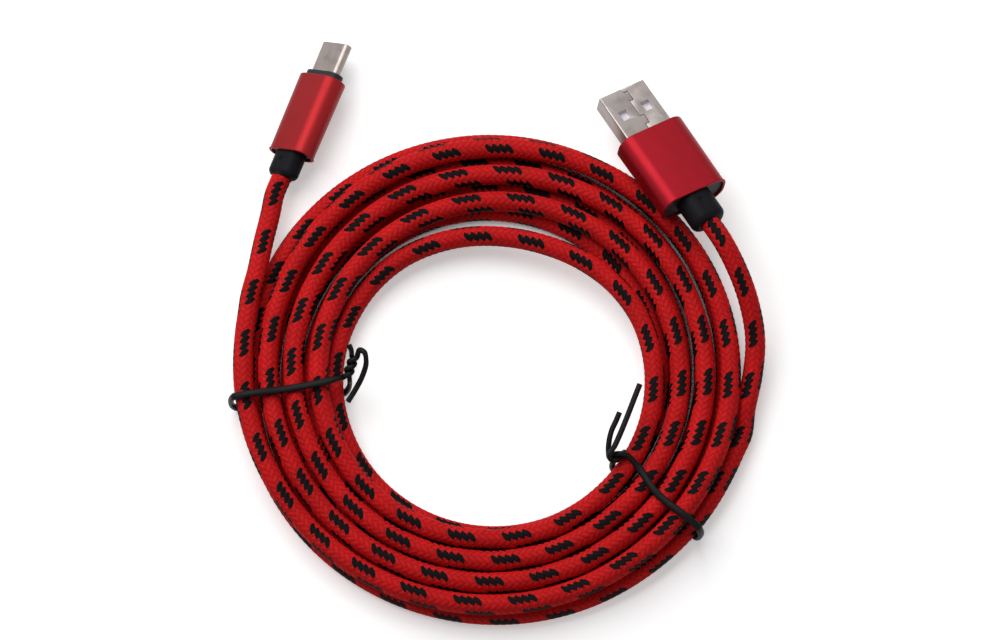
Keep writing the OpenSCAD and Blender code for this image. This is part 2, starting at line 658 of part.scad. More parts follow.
// One tie: a tail, the stem, the loop, the stem again and the other tail.
// foot and the tails are drawn from the corner of the loop, inside and on top.
function tie_route(at, foot, way, length, turns, phase, tail_a, tail_b) =
    let (corner = [tie_inner(at), 0, tie_top(at)])
    [for (p = concat(
        [for (q = tail_a) corner + q],
        stem(corner + foot, way, length, turns, phase, true),
        tie_loop(at, foot),
        stem(corner + foot, way, length, turns, phase + 180, false),
        [for (q = tail_b) corner + q])) beside(at, p)];

band_from_foot = 1.8;                        // where the band lies flat, out from the foot
under_foot = [0.6, 0, 2.2];                  // where the other end comes up to the foot
stem_r = tie_d / 2 + 0.25;                   // middle of each end from the stem's axis
left_foot = [-0.4, -0.8, -0.5];
left_way = unit([-0.55, -1, 0.5]);
left_tail_a = [[0.1, 4.7, -0.8], [-2.3, 1.9, 0.1], [-4, -0.4, 1.2], [-5.2, -3.2, 2.4],
               [-5, -5.3, 2.9], [-4.1, -6, 2.5]];
left_tail_b = [[-2.2, -6.4, 2.7], [-1.8, -7.4, 3]];
right_foot = [1.4, 2.4, 0.5];
right_way = unit([-0.55, -1, 0.15]);
right_tail_a = [[-5.5, 8.6, 1.9], [-4.9, 6.6, 1.6], [-4.3, 4.4, 1.3], [-3.1, 2, 0.9],
                [-1.9, 0.4, 0.5]];
right_tail_b = [[-0.6, -0.9, 2.5], [-1.3, 1.9, 2.8], [-5.9, 16.1, 3.8]];
left_turns = 1.5;
right_turns = 0.5;
left_phase = 180;                            // where the band's own end starts round the stem
right_phase = 225;

module tie_coat(at, route) color("#262427")
    hollow_tube(route, tie_d, tie_wire_d, tie_sides, beside(at, [0, 1, 0.17]));
module tie_wire(at, route) color("#8b8b8b")
    tube(route, tie_wire_d, tie_sides, beside(at, [0, 1, 0.17]));

left_route = tie_route(left_tie_at, left_foot, left_way, left_stem_l, left_turns,
    left_phase, left_tail_a, left_tail_b);
right_route = tie_route(right_tie_at, right_foot, right_way, right_stem_l, right_turns,
    right_phase, right_tail_a, right_tail_b);
module left_tie_coat() tie_coat(left_tie_at, left_route);
module left_tie_wire() tie_wire(left_tie_at, left_route);
module right_tie_coat() tie_coat(right_tie_at, right_route);
module right_tie_wire() tie_wire(right_tie_at, right_route);

// ---- Nodes -------------------------------------------------------------------

coil();
usb_a_lead();
usb_c_lead();
usb_a_shell();
usb_a_insulator();
usb_a_contact_vbus();
usb_a_contact_d_minus();
usb_a_contact_d_plus();
usb_a_contact_gnd();
usb_a_crimp();
usb_a_inner_mould();
usb_a_body();
usb_a_sleeve();
usb_a_boot();
usb_a_wire_red();
usb_a_wire_white();
usb_a_wire_green();
usb_a_wire_black();
usb_a_cable_end();
usb_c_shell();
usb_c_insulator();
usb_c_contacts_upper();
usb_c_contacts_lower();
usb_c_latch_spring();
usb_c_board();
usb_c_resistor();
usb_c_crimp();
usb_c_inner_mould();
usb_c_body();
usb_c_sleeve();
usb_c_boot();
usb_c_wire_red();
usb_c_wire_white();
usb_c_wire_green();
usb_c_wire_black();
usb_c_cable_end();
left_tie_coat();
left_tie_wire();
right_tie_coat();
right_tie_wire();
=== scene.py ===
"""A braided USB-A to USB-C charging cable, wound in a flat coil that two wire ties hold.

Places and sizes are in millimetres, as in the part's source, and put() turns them to metres.
"""

import bpy
import numpy as np
from mathutils import Matrix


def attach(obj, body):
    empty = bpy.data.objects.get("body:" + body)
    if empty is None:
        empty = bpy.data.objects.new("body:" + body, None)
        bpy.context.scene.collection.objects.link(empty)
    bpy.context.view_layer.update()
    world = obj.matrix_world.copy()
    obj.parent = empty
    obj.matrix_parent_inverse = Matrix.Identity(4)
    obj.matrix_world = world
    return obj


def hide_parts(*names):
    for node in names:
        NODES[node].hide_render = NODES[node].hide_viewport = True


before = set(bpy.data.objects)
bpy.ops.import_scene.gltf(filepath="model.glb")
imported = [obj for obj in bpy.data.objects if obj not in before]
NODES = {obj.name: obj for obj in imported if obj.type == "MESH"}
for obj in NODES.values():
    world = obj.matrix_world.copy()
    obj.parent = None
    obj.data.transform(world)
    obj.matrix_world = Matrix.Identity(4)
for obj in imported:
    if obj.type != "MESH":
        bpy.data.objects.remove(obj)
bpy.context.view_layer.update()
MM = 0.001
UP = np.array([0.0, 0.0, 1.0])

# ---- Sizes that the part's source has too --------------------------------------------

CABLE_D = 4.0  # the jacket, under the braid
COIL_INNER_R = 36.0
UPPER_TURNS, CHANGE_TURNS, LOWER_TURNS = 3.6, 0.5, 4.35
UPPER_STEP, LOWER_STEP = 5.7, 4.9
UPPER_OUTER_R = COIL_INNER_R + UPPER_TURNS * UPPER_STEP
LOWER_Z, LAYER_RISE = 1.6, 4.5
COIL_START = 172.0
DRIFTS = (2.5, 267.0), (1.7, 252.0)  # how far and at what bearing, upper and lower layer
INNER_SAG = 2.2
SAG_MIDDLE, SAG_HALF = 0.13, 0.17  # in turns, counted from the end of the upper layer
RINGS_A_TURN = 24
COIL_RINGS = round((UPPER_TURNS + CHANGE_TURNS + LOWER_TURNS) * RINGS_A_TURN)
TANGENT_STEP = 0.001  # turns
TIE_D, TIE_GAP, TIE_BEND = 1.3, 0.3, 1.6
TIE_LIFT = TIE_D + 0.15  # the cable rides over each tie with a little room
LIFT_FLAT, LIFT_END = 9.0, 34.0  # degrees off a tie: fully lifted up to here, and not beyond
LEFT_TIE_AT, RIGHT_TIE_AT = 188.0, 320.0

# Each plug's own frame: where the sleeve's front rim is, and its turns about X, Y and Z.
A_PLACE, A_TURN = (35.4, 53.4, 10), (14.5, 9, 121.7)
C_PLACE, C_TURN = (-39.1, 68.5, 5.05), (-36, 0, 68.6)
A_SLEEVE, C_SLEEVE = 19.2, 19.4
A_BOOT, C_BOOT = 7.0, 5.9
A_LEAD = [(56.8, -9.6, 3.4), (58.5, -1.6, 4.4), (59.1, 6, 6.2), (57.6, 14, 9.6), (54.4, 22, 12.9)]
C_LEAD = [(-53.5, 22.2, 6.4), (-52.2, 29.4, 5.5), (-50.7, 36.4, 5.05)]

# ---- Sizes of the finish -------------------------------------------------------------

BRAID_D = 4.55  # over the braid
PICK = 1.54  # along the cord from one yarn of the braid to the next
YARNS, COLUMNS = 10, 4  # yarns that go round one way, and columns of dashes
BRAID_SIDES = 2 * YARNS
BRAID_RELIEF = 0.045
BRAID_RISE = 0.72  # the braid is thicker than the jacket, so its middle rests higher
BRAID_RISE_OVER = 20.0  # the length at each end over which it comes down to the plug
# The lattice wanders round the cord: by how many radians, over what length, from what phase.
BRAID_WANDERS = (0.3, 173.0, 0.6), (0.16, 67.0, 0.0)

# Width, height and corner radius of a section, then its wall, outer rim and bore's rim.
A_SLEEVE_SECTION = 17.0, 8.4, 3.4, 0.7, 0.22, 0.1
C_SLEEVE_SECTION = 12.3, 6.6, 3.3, 0.7, 0.22, 0.1
C_SHELL_SECTION = 8.25, 2.4, 1.2, 0.3, 0.14, 0.1
C_SHELL_BACK, C_SHELL_FRONT = -2.6, 9.1

A_BOOT_SECTION, C_BOOT_SECTION = (8.4, 6.8), (7.4, 5.1)  # width and height
BOOT_IN_SLEEVE = 0.5
BOOT_EDGE, BOOT_SIDE_FLAT = 1.5, 0.5
BOOT_BORE, BOOT_BORE_DEPTH = 2.3, 2.5
BOOT_LIP, BOOT_LIP_DEPTH = 0.125, 0.15  # the bore opens by this at its mouth
BOOT_RINGS, BOOT_FLAT_STEPS = 34, 12
PIT_R, PIT_DEPTH, PIT_FROM_FRONT = 0.75, 0.3, 2.6  # the mould pin's mark on a boot
PIT_WALL = 0.4  # the part of its radius that slopes
PIT_REACH = 0.3  # how far under the boot's top a point may be that the pit moves

A_SHELL_BEVEL, C_COLLAR_BEVEL = 0.07, 0.25

TIE_SIDES, TIE_RING_STEP = 16, 0.35
TIE_OVAL = 0.8  # the power of the cosine and sine: 1 is an ellipse, and less is squarer
TIE_HALF_THIN, TIE_HALF_WIDE = (0.56, 0.52), (0.62, 0.84)  # at a free end, round the bundle
TIE_FLATTENS_OVER = 8  # rings
TIE_RISE, TIE_RISES_FROM, TIE_RISES_OVER = 0.5, 2.0, 6.0  # by and over what height, on top
# The loop begins outwards from the stem's foot, and ends below the top and inwards of the foot.
LOOP_BEGINS, LOOP_ENDS, LOOP_TUCK = 1.8, 2.2, 0.6
TIE_LEAN = 0.17  # of the wide side's reference, out of the level
STEM_R = TIE_D / 2  # of the helix of each end; closer wound than in the part's source
STEM_STEPS = 12  # points for a turn

# ---- The stage, in metres ------------------------------------------------------------

FLOOR_HALF, FLOOR_Z = 3.0, -0.0001
# The second colour is painted shade, which the paper takes where something closes the floor in.
PAPER, CREVICE_PAINTED_SHADE = "#fafafa", "#2a2523"
PAPER_GLOW = 0.42
CREVICE_REACH = 0.008  # how far off a thing may be that closes the floor in
CLOSED_AT, OPEN_AT = 0.14, 0.3  # the open part of the sky at which a crevice ends and begins
SKY_LIGHT, SKY_SEEN = 0.1, 1.0
CAMERA_PLACE, CAMERA_TARGET = (0.0015, -0.3181, 1.1535), (0.0015, 0.0127, 0.0)
CAMERA_LENS, CAMERA_SENSOR = 190.08, 36.0


# ---- Points, paths and frames --------------------------------------------------------


def unit(v):
    """The vectors, each divided by its length."""
    return v / np.linalg.norm(v, axis=-1, keepdims=True)


def ease(x):
    """Half a cosine wave from 0 at x = 0 to 1 at x = 1, flat beyond."""
    return 0.5 - 0.5 * np.cos(np.pi * np.clip(x, 0, 1))


def turns(angles):
    """The matrix that turns a point about X, then Y, then Z, by angles in degrees."""
    (sx, sy, sz), (cx, cy, cz) = np.sin(np.radians(angles)), np.cos(np.radians(angles))
    about_x = np.array([[1, 0, 0], [0, cx, -sx], [0, sx, cx]])
    about_y = np.array([[cy, 0, sy], [0, 1, 0], [-sy, 0, cy]])
    about_z = np.array([[cz, -sz, 0], [sz, cz, 0], [0, 0, 1]])
    return about_z @ about_y @ about_x


def at_a(points):
    """Points of the USB-A plug's own frame, in the model's."""
    return A_PLACE + np.asarray(points, float) @ turns(A_TURN).T


def at_c(points):
    """Points of the USB-C plug's own frame, in the model's."""
    return C_PLACE + np.asarray(points, float) @ turns(C_TURN).T


def even(path, count):
    """The path again, as count points at equal distances along it."""
    steps = np.linalg.norm(np.diff(path, axis=0), axis=1)
    along = np.concatenate([[0], np.cumsum(steps)])
    at = np.linspace(0, along[-1], count)
    return np.stack([np.interp(at, along, path[:, k]) for k in range(3)], axis=1)


def length_of(path):
    """The sum of the path's steps."""
    return float(np.linalg.norm(np.diff(path, axis=0), axis=1).sum())


def smooth_path(points, cuts=16):
    """A curve through the points. On each chord it is a cubic whose slope at a point is the mean
    of the two chords' directions there, each weighted by the other chord's length."""
    p = np.asarray(points, float)
    chord = np.diff(p, axis=0)
    size = np.linalg.norm(chord, axis=1)[:, None]
    way = chord / size
    inner = (way[:-1] * size[1:] + way[1:] * size[:-1]) / (size[:-1] + size[1:])
    slope = np.concatenate([way[:1], inner, way[-1:]])
    t = np.linspace(0, 1, cuts, endpoint=False)[None, :, None]
    curve = (
        (2 * t**3 - 3 * t**2 + 1) * p[:-1, None]
        + (t**3 - 2 * t**2 + t) * (slope[:-1] * size)[:, None]
        + (3 * t**2 - 2 * t**3) * p[1:, None]
        + (t**3 - t**2) * (slope[1:] * size)[:, None]
    )
    return np.concatenate([curve.reshape(-1, 3), p[-1:]])


def sides_along(path, ref):
    """At each point the side, square to the way ahead and to ref, and the third direction."""
    ahead = unit(np.gradient(path, axis=0))
    side = unit(np.cross(ref, ahead))
    return side, np.cross(ahead, side)


# ---- The cable's route ---------------------------------------------------------------


def lift(at):
    """How much higher the cable runs at a bearing, because it rides over the two ties."""
    off = np.stack([np.abs((at - tie + 180) % 360 - 180) for tie in (LEFT_TIE_AT, RIGHT_TIE_AT)])
    return TIE_LIFT * ease((LIFT_END - off) / (LIFT_END - LIFT_FLAT)).max(axis=0)


def coil_point(u):
    """Points of the coil at u turns from its USB-C end: steadily in along the upper layer, down a
    layer in half a turn, and steadily out along the lower one. Each layer drifts off the middle
    as it goes in, and the innermost turn sags inwards by half a cosine wave. Points in the plane
    are complex numbers here."""
    v = u - UPPER_TURNS
    r = np.where(
        v < 0,
        UPPER_OUTER_R - UPPER_STEP * u,
        np.where(
            v < CHANGE_TURNS / 2,
            COIL_INNER_R - LOWER_STEP * v,
            COIL_INNER_R + LOWER_STEP * (v - CHANGE_TURNS),
        ),
    )
    at = COIL_START + 360 * u
    below = ease(v / CHANGE_TURNS)
    upper, lower = (far * np.exp(1j * np.radians(way)) for far, way in DRIFTS)
    off = (upper * (1 - below) + lower * below) * (UPPER_OUTER_R - r)
    sag = INNER_SAG * ease(1 - np.abs(v - SAG_MIDDLE) / SAG_HALF)
    flat = (r - sag) * np.exp(1j * np.radians(at)) + off / (UPPER_OUTER_R - COIL_INNER_R)
    return np.stack([flat.real, flat.imag, LOWER_Z + LAYER_RISE * (1 - below) + lift(at)], axis=-1)


def cable_route():
    """The whole cable, from the end of the USB-A boot to the end of the USB-C boot."""
    coil = coil_point(np.arange(COIL_RINGS + 1) / RINGS_A_TURN)
    nearly = coil_point(np.array([TANGENT_STEP, COIL_RINGS / RINGS_A_TURN - TANGENT_STEP]))
    c_way, a_way = unit(coil[0] - nearly[0]), unit(coil[-1] - nearly[1])
    a_back, c_back = -A_SLEEVE - A_BOOT, -C_SLEEVE - C_BOOT
    a_end = [at_a([a_back, 0, 0]), at_a([a_back - CABLE_D, 0, 0])]
    c_end = [at_c([c_back - CABLE_D, 0, 0]), at_c([c_back, 0, 0])]
    a_lead = [*a_end, *A_LEAD[::-1], coil[-1] + 2 * CABLE_D * a_way, coil[-1] + CABLE_D * a_way]
    c_lead = [coil[0] + CABLE_D * c_way, coil[0] + 2 * CABLE_D * c_way, *C_LEAD, *c_end]
    return smooth_path(np.concatenate([a_lead, coil[::-1], c_lead]))


# ---- Meshes --------------------------------------------------------------------------


def grid_faces(rows, columns, closed=False):
    """Quads between rows of points. Each row is a loop, and closed joins the last row to the
    first. Rows that go ahead, with loops from the side to the top, face outwards."""
    row = np.arange(rows if closed else rows - 1)[:, None] * columns
    k = np.arange(columns)[None, :]
    after = (k + 1) % columns
    ahead = (row + columns) % (rows * columns)
    return np.stack([row + k, row + after, ahead + after, ahead + k], axis=-1).reshape(-1, 4)


def ends_of(rows, columns):
    """The two flat faces that close the first and the last loop."""
    return [list(range(columns))[::-1], list(range((rows - 1) * columns, rows * columns))]


def add_object(name, data):
    """An object of the data, at the origin and in the scene."""
    made = bpy.data.objects.new(name, data)
    bpy.context.scene.collection.objects.link(made)
    return made


def put(name, points, faces, material, nodes, sharp=35):
    """A piece from its points, in millimetres, and its faces. It stands for the nodes."""
    mesh = bpy.data.meshes.new(name)
    mesh.from_pydata((np.asarray(points) * MM).tolist(), [], [list(map(int, f)) for f in faces])
    mesh.shade_smooth()
    mesh.set_sharp_from_angle(angle=np.radians(sharp))
    mesh.materials.append(material)
    piece = add_object(name, mesh)
    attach(piece, "root")
    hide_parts(*nodes)
    return piece


def rounded(w, h, r, flat, arc=10):
    """A loop round a rectangle of width w along Y and height h along Z, with corners of radius r:
    each corner's centre plus r times the direction, over a quarter turn at a time, and then the
    straight side to the next corner in flat equal steps."""
    angle = np.arange(4)[:, None] * np.pi / 2 + np.linspace(0, np.pi / 2, arc + 1)
    middle = np.array([[1, 1], [-1, 1], [-1, -1], [1, -1]]) * [w / 2 - r, h / 2 - r]
    corners = middle[:, None] + r * np.stack([np.cos(angle), np.sin(angle)], axis=-1)
    step = np.arange(1, flat)[:, None] / flat
    sides = corners[:, -1:] * (1 - step) + np.roll(corners, -1, axis=0)[:, :1] * step
    return np.concatenate([corners, sides], axis=1).reshape(-1, 2)


def stations_grid(stations, flat=1):
    """Loops of rounded() at each (x, w, h, r), as points of a plug's own frame."""
    loops = [np.insert(rounded(w, h, r, flat), 0, x, axis=1) for x, w, h, r in stations]
    return np.concatenate(loops), len(loops), len(loops[0])


def arc_steps(count=5):
    """Pairs (sine, 1 - cosine) over a quarter turn, for a rounded edge."""
    angle = np.linspace(0, np.pi / 2, count)
    return list(zip(np.sin(angle), 1 - np.cos(angle)))


def wall_stations(x0, x1, w, h, r, wall, edge, bore_edge):
    """Stations round the wall of a sleeve from x0 to x1: out along the outside, over a rounded
    rim of radius edge, back along the bore, which has a smaller rounded edge."""

    def outside(x, inset):
        return (x, w - 2 * inset, h - 2 * inset, r - inset)

    rear = [outside(x0 + edge * c, edge * (1 - s)) for s, c in arc_steps()][::-1]
    front = [outside(x1 - edge * (1 - s), edge * c) for s, c in arc_steps()]
    inner = [outside(x1 - bore_edge * (1 - s), wall - bore_edge * c) for s, c in arc_steps()[::-1]]
    back = [outside(x0 + bore_edge * (1 - s), wall - bore_edge * c) for s, c in arc_steps()]
    return rear + front + inner + back


# ---- Materials -----------------------------------------------------------------------

RED_YARN = ("#c3191c", "#dd2021")
BLACK_YARN = "#070405"
NOISE_SPAN = {1: 0.3, 2: 0.7}  # the inputs of a MapRange that takes in most of a noise


def linear(code):
    """An sRGB hex colour as linear RGBA."""
    srgb = np.array([int(code[i : i + 2], 16) / 255 for i in (1, 3, 5)])
    rgb = np.where(srgb <= 0.04045, srgb / 12.92, ((srgb + 0.055) / 1.055) ** 2.4)
    return (*rgb.tolist(), 1.0)


def add_node(tree, kind, inputs=(), **settings):
    """Adds a node with its settings. inputs gives sockets a value, or an output to link."""
    made = tree.nodes.new("ShaderNode" + kind)
    for key, value in settings.items():
        setattr(made, key, value)
    for socket, value in dict(inputs).items():
        if isinstance(value, bpy.types.NodeSocket):
            tree.links.new(value, made.inputs[socket])
        else:
            made.inputs[socket].default_value = value
    return made


def material(name, sockets):
    """A material whose Principled shader has these values on its own sockets."""
    made = bpy.data.materials.new(name)
    made.use_nodes = True
    shader = made.node_tree.nodes["Principled BSDF"]
    for socket, value in sockets.items():
        shader.inputs[socket].default_value = value
    return made, made.node_tree, shader


def join(tree, shader, colour, roughness, normal=None):
    """Links what varies over the surface to the shader."""
    for socket, output in (("Base Color", colour), ("Roughness", roughness), ("Normal", normal)):
        if output is not None:
            tree.links.new(output, shader.inputs[socket])


def nylon_braid():
    """Nylon yarn, braided: ten yarns each way round the cord, red, with a group of black ones
    that shows as a dash of four slanted stitches in each of four columns. Multifilament yarn
    takes the light softly on its crowns and is dark where the yarns go under each other. The
    colour has this as a painted highlight on the crowns and the strands' crests, and as painted
    shade in the valleys and towards the ends of each float."""
    made, tree, shader = material("nylon_braid", {"Specular IOR Level": 0.07, "IOR": 1.53})
    uv = add_node(tree, "UVMap", uv_map="picks_and_columns").outputs[0]
    parts = add_node(tree, "SeparateXYZ", {0: uv})
    place = add_node(tree, "TexCoord").outputs["Object"]
    # The dye varies over about 7 mm, and loose filaments make a fuzz of 0.4 mm.
    blotch = add_node(tree, "TexNoise", {0: place, "Scale": 0.14 / MM, "Detail": 3.0})
    fuzz = add_node(tree, "TexNoise", {0: place, "Scale": 2.6 / MM, "Detail": 2.0})
    value = {
        "u": parts.outputs[0],
        "v": parts.outputs[1],
        "blotch": blotch.outputs[0],
        "fuzz": fuzz.outputs[0],
    }
    column_w = np.pi * BRAID_D / COLUMNS
    steps = (
        # The two families of yarns, counted in yarns: one goes up the columns, the other down.
        ("one", "MULTIPLY_ADD", "v", YARNS / COLUMNS, "u"),
        ("other", "MULTIPLY_ADD", "v", -YARNS / COLUMNS, "u"),
        ("floor_one", "FLOOR", "one"),
        ("floor_other", "FLOOR", "other"),
        # Each yarn goes over two of the other family and then under two.
        ("apart", "SUBTRACT", "floor_one", "floor_other"),
        ("quarter", "MULTIPLY", "apart", 0.25),
        ("round_of_four", "FRACT", "quarter"),
        ("over", "GREATER_THAN", "round_of_four", 0.45),
        # The yarn on top, its crown, and the three strands of filaments in it.
        ("difference", "SUBTRACT", "other", "one"),
        ("yarn", "MULTIPLY_ADD", "difference", "over", "one"),
        ("ridge", "PINGPONG", "yarn", 0.5),
        ("crown", "MULTIPLY", "ridge", 2.0),
        ("yarn_3", "MULTIPLY", "yarn", 3.0),
        ("strands", "PINGPONG", "yarn_3", 0.5),
        ("bulge", "POWER", "crown", 0.6),
        # How far along its float the top yarn is, from 0 in the middle to 1 where it dives.
        ("past_one", "SUBTRACT", "floor_one", "other"),
        ("along_one", "PINGPONG", "past_one", 2.0),
        ("past_other", "SUBTRACT", "one", "floor_other"),
        ("past_middle", "SUBTRACT", "past_other", 3.0),
        ("along_other", "PINGPONG", "past_middle", 2.0),
        ("between", "SUBTRACT", "along_other", "along_one"),
        ("along", "MULTIPLY_ADD", "between", "over", "along_one"),
        ("end", "MULTIPLY", "along", "along"),
        ("arch", "MULTIPLY_ADD", "end", -0.45, 1.0),
        ("arched", "MULTIPLY", "bulge", "arch"),
        ("relief", "MULTIPLY_ADD", "strands", 0.3, "arched"),
        # The dashes: a column is 3.5 mm wide, and its dash is 4 of every 8 picks.
        ("column", "FLOOR", "v"),
        ("in_column", "FRACT", "v"),
        ("off_middle", "SUBTRACT", "in_column", 0.5),
        ("across", "MULTIPLY", "off_middle", column_w),
        ("shifted", "MULTIPLY_ADD", "column", -2.0, "u"),
        ("stitch", "MULTIPLY_ADD", "across", -0.6 / PICK, "shifted"),
        ("eighth", "MULTIPLY", "stitch", 1 / 8),
        ("in_dash", "FRACT", "eighth"),
        ("long_enough", "LESS_THAN", "in_dash", 0.5),
        ("tooth", "PINGPONG", "stitch", 0.5),
        # A dash is 1 mm wide between its teeth and 2.6 mm over them.
        ("half_w", "MULTIPLY_ADD", "tooth", 1.6, 0.5),
        ("distance", "ABSOLUTE", "across"),
        ("narrow_enough", "LESS_THAN", "distance", "half_w"),
        ("black", "MULTIPLY", "long_enough", "narrow_enough"),
        # How bright the yarn is drawn: painted shade in the valleys and towards the ends of each
        # float, a painted highlight on the strands' crests, with soft clouds and a fine fuzz.
        ("valley", "POWER", "crown", 0.5),
        ("valley_painted_shade", "MULTIPLY_ADD", "valley", 0.34, 0.57),
        ("painted_highlight_and_shade", "MULTIPLY_ADD", "strands", 0.16, "valley_painted_shade"),
        ("cloud", "MULTIPLY_ADD", "blotch", 0.3, 0.92),
        ("grain", "MULTIPLY_ADD", "fuzz", 0.5, 0.78),
        ("shaded", "MULTIPLY_ADD", "end", -0.22, 1.06),
        ("floated", "MULTIPLY", "painted_highlight_and_shade", "shaded"),
        ("clouded", "MULTIPLY", "floated", "cloud"),
        ("level", "MULTIPLY", "clouded", "grain"),
        ("rough", "MULTIPLY_ADD", "fuzz", 0.2, 0.55),
    )
    for name, operation, *inputs in steps:
        inputs = {i: value[x] if isinstance(x, str) else x for i, x in enumerate(inputs)}
        value[name] = add_node(tree, "Math", inputs, operation=operation).outputs[0]
    red = add_node(
        tree, "Mix", {0: value["blotch"], 6: linear(RED_YARN[0]), 7: linear(RED_YARN[1])},
        data_type="RGBA",
    ).outputs[2]
    both = add_node(
        tree, "Mix", {0: value["black"], 6: red, 7: linear(BLACK_YARN)}, data_type="RGBA"
    ).outputs[2]
    # The colour is scaled by level, which carries the painted highlight and the painted shade.
    colour = add_node(
        tree, "VectorMath", {0: both, 3: value["level"]}, operation="SCALE"
    ).outputs[0]
    bump = add_node(
        tree, "Bump", {"Strength": 0.8, "Distance": 0.12 * MM, "Height": value["relief"]}
    )
    join(tree, shader, colour, value["rough"], bump.outputs[0])
    return made


def plug_place(tree, place, turn, scale=(1, 1, 1)):
    """Object coordinates turned into a plug's own frame, X out of its mouth."""
    where = add_node(tree, "TexCoord").outputs["Object"]
    own = add_node(
        tree,
        "Mapping",
        {0: where, 1: tuple(np.array(place) * MM), 2: tuple(np.radians(turn)), 3: scale},
        vector_type="TEXTURE",
    )
    return own.outputs[0]


def anodised_aluminium(name, light, dark, place, turn):
    """Extruded aluminium, bead blasted and dyed red in the anodising bath: a satin metal with a
    fine grain, and a colour that gets a little deeper in places."""
    made, tree, shader = material(name, {"Metallic": 0.85})
    own = plug_place(tree, place, turn)
    # The dye's clouds are about 4.5 mm across.
    cloud = add_node(tree, "TexNoise", {0: own, "Scale": 0.22 / MM, "Detail": 2.0}).outputs[0]
    # Blasting leaves pits of about 0.05 mm, drawn at 0.15 mm so that they show.
    grain = add_node(tree, "TexNoise", {0: own, "Scale": 7 / MM, "Detail": 2.0}).outputs[0]
    # The lines of the die are 20 mm long and 0.4 mm apart.
    drawn = plug_place(tree, place, turn, (20 * MM, 0.4 * MM, 0.4 * MM))
    lines = add_node(tree, "TexNoise", {0: drawn, "Scale": 1.0, "Detail": 3.0}).outputs[0]
    colour = add_node(
        tree, "Mix", {0: cloud, 6: linear(light), 7: linear(dark)}, data_type="RGBA"
    ).outputs[2]
    rough = add_node(tree, "MapRange", {0: lines, **NOISE_SPAN, 3: 0.4, 4: 0.5}).outputs[0]
    pits = add_node(tree, "Bump", {"Strength": 0.25, "Distance": 0.02 * MM, "Height": grain})
    both = add_node(
        tree, "Bump",
        {"Strength": 0.2, "Distance": 0.02 * MM, "Height": lines, "Normal": pits.outputs[0]},
    )
    join(tree, shader, colour, rough, both.outputs[0])
    return made


def nickel_plate(name, light, stained, place, turn):
    """Deep-drawn or folded steel under nickel plate: a greyish, slightly warm metal with fine
    drawing lines along it and faint stains from handling."""
    made, tree, shader = material(name, {"Metallic": 1.0})
    own = plug_place(tree, place, turn)
    # Stains of about 3 mm, over lines that are 12 mm long and 0.22 mm apart.
    stain = add_node(tree, "TexNoise", {0: own, "Scale": 0.33 / MM, "Detail": 4.0}).outputs[0]
    drawn = plug_place(tree, place, turn, (12 * MM, 0.22 * MM, 0.22 * MM))
    lines = add_node(tree, "TexNoise", {0: drawn, "Scale": 1.0, "Detail": 4.0}).outputs[0]
    much = add_node(tree, "MapRange", {0: stain, 1: 0.5, 2: 0.75, 3: 0.0, 4: 1.0}).outputs[0]
    colour = add_node(
        tree, "Mix", {0: much, 6: linear(light), 7: linear(stained)}, data_type="RGBA"
    ).outputs[2]
    rough = add_node(tree, "MapRange", {0: lines, **NOISE_SPAN, 3: 0.27, 4: 0.4}).outputs[0]
    bump = add_node(tree, "Bump", {"Strength": 0.3, "Distance": 0.01 * MM, "Height": lines})
    join(tree, shader, colour, rough, bump.outputs[0])
    return made


def moulded(name, base, patch, roughness, grain_mm=0.12, depth_mm=0.02, specular=0.5):
    """A moulded polymer: base colour with patch in soft clouds of about 2.4 mm, and the fine
    grain of the eroded mould, as pits of about grain_mm."""
    made, tree, shader = material(name, {"Specular IOR Level": specular})
    where = add_node(tree, "TexCoord").outputs["Object"]
    cloud = add_node(tree, "TexNoise", {0: where, "Scale": 0.42 / MM, "Detail": 2.0}).outputs[0]
    grain = add_node(
        tree, "TexNoise", {0: where, "Scale": 1 / (grain_mm * MM), "Detail": 2.0}
    ).outputs[0]
    colour = add_node(
        tree, "Mix", {0: cloud, 6: linear(base), 7: linear(patch)}, data_type="RGBA"
    ).outputs[2]
    rough = add_node(
        tree, "MapRange", {0: grain, **NOISE_SPAN, 3: roughness - 0.05, 4: roughness + 0.05}
    ).outputs[0]
    bump = add_node(tree, "Bump", {"Strength": 0.4, "Distance": depth_mm * MM, "Height": grain})
    join(tree, shader, colour, rough, bump.outputs[0])
    return made


def plated(name, base, patch, roughness):
    """A small stamped or drawn metal piece: base colour with patch in clouds of about 1.1 mm,
    which are duller too."""
    made, tree, shader = material(name, {"Metallic": 1.0})
    where = add_node(tree, "TexCoord").outputs["Object"]
    cloud = add_node(tree, "TexNoise", {0: where, "Scale": 0.9 / MM, "Detail": 3.0}).outputs[0]
    colour = add_node(
        tree, "Mix", {0: cloud, 6: linear(base), 7: linear(patch)}, data_type="RGBA"
    ).outputs[2]
    rough = add_node(
        tree, "MapRange", {0: cloud, **NOISE_SPAN, 3: roughness, 4: roughness + 0.12}
    ).outputs[0]
    join(tree, shader, colour, rough)
    return made


